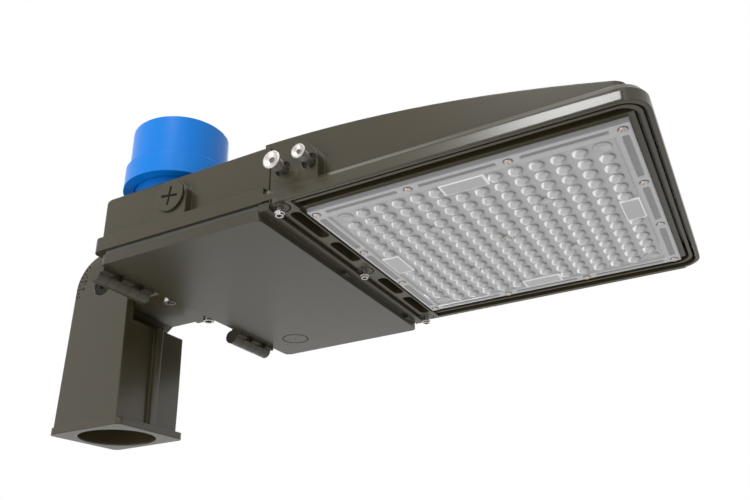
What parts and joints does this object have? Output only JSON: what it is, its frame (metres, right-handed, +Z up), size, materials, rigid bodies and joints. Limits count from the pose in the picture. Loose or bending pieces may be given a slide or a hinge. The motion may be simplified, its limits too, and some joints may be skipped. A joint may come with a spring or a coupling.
{
  "type": "shoebox area light",
  "caption": "Flat shoebox area light with a finned head, a hinged driver door, a twist photocell cap and a tilting slip fitter for a pole tenon.",
  "frame": {"origin": "centre of the tenon bore on the foot face of the slip fitter", "axes": "+Z up along the pole, +X from the pole to the tip of the head, -Y is the side of the tilt cheek and of the photocell"},
  "size_m": [0.4965, 0.264, 0.1998],
  "materials": {
    "bronze_paint": "fine-textured dark bronze powder coat",
    "bronze_door_paint": "fine-textured dark bronze powder coat",
    "stainless": "turned stainless steel",
    "dark_bolt": "black oxide steel",
    "ring_metal": "plain steel",
    "driver_case": "bare aluminium case",
    "surge_case": "black moulded plastic",
    "terminal_plastic": "cream moulded plastic",
    "black_rubber": "silicone rubber",
    "board_white": "white solder mask",
    "led_phosphor": "yellow phosphor",
    "clear_lens": "clear moulded acrylic",
    "blue_socket": "blue moulded plastic",
    "blue_cap": "blue moulded plastic",
    "contact_brass": "bare brass"
  },
  "bodies": {
    "fitter": {"slip_fitter": "bronze_paint", "tenon_screws": "stainless", "pivot_bolt": "dark_bolt"},
    "head": {"tilt_arm": "bronze_paint", "tilt_ring": "ring_metal", "pivot_nut": "stainless", "arm_screws": "stainless", "housing": "bronze_paint", "driver": "driver_case", "driver_screws": "stainless", "surge_protector": "surge_case", "terminal_block": "terminal_plastic", "lead_gland": "black_rubber", "led_board": "board_white", "leds": "led_phosphor", "board_connector": "terminal_plastic", "lens_gasket": "black_rubber", "lens_panel": "clear_lens", "lens_screws": "stainless", "side_bolts": "stainless", "side_plug": "bronze_paint", "plug_seal": "black_rubber", "receptacle": "blue_socket", "receptacle_seal": "black_rubber", "receptacle_nut": "terminal_plastic", "hinge_pins": "stainless"},
    "cap": {"photocell_cap": "blue_cap", "cap_contacts": "contact_brass"},
    "door": {"door": "bronze_door_paint", "door_gasket": "black_rubber", "sensor_plug": "bronze_door_paint"},
    "screw_near": {"door_screw_near": "stainless"},
    "screw_middle": {"door_screw_middle": "stainless"},
    "screw_far": {"door_screw_far": "stainless"}
  },
  "joints": [
    {"name": "tilt", "type": "hinge", "parent": "fitter", "child": "head", "pos_m": [0, 0, 0.121], "axis": [0, 1, 0], "range_deg": [-90, 15]},
    {"name": "door_swing", "type": "hinge", "parent": "head", "child": "door", "pos_m": [0.0785, 0, 0.0835], "axis": [0, 1, 0], "range_deg": [0, 90]},
    {"name": "cap_twist", "type": "hinge", "parent": "head", "child": "cap", "pos_m": [0.1148, -0.0804, 0.15], "axis": [0, 0, 1], "range_deg": [0, 20]},
    {"name": "screw_near_slide", "type": "slide", "parent": "door", "child": "screw_near", "axis": [0, 0, -1], "range_m": [0, 0.007]},
    {"name": "screw_middle_slide", "type": "slide", "parent": "door", "child": "screw_middle", "axis": [0, 0, -1], "range_m": [0, 0.007]},
    {"name": "screw_far_slide", "type": "slide", "parent": "door", "child": "screw_far", "axis": [0, 0, -1], "range_m": [0, 0.007]}
  ]
}
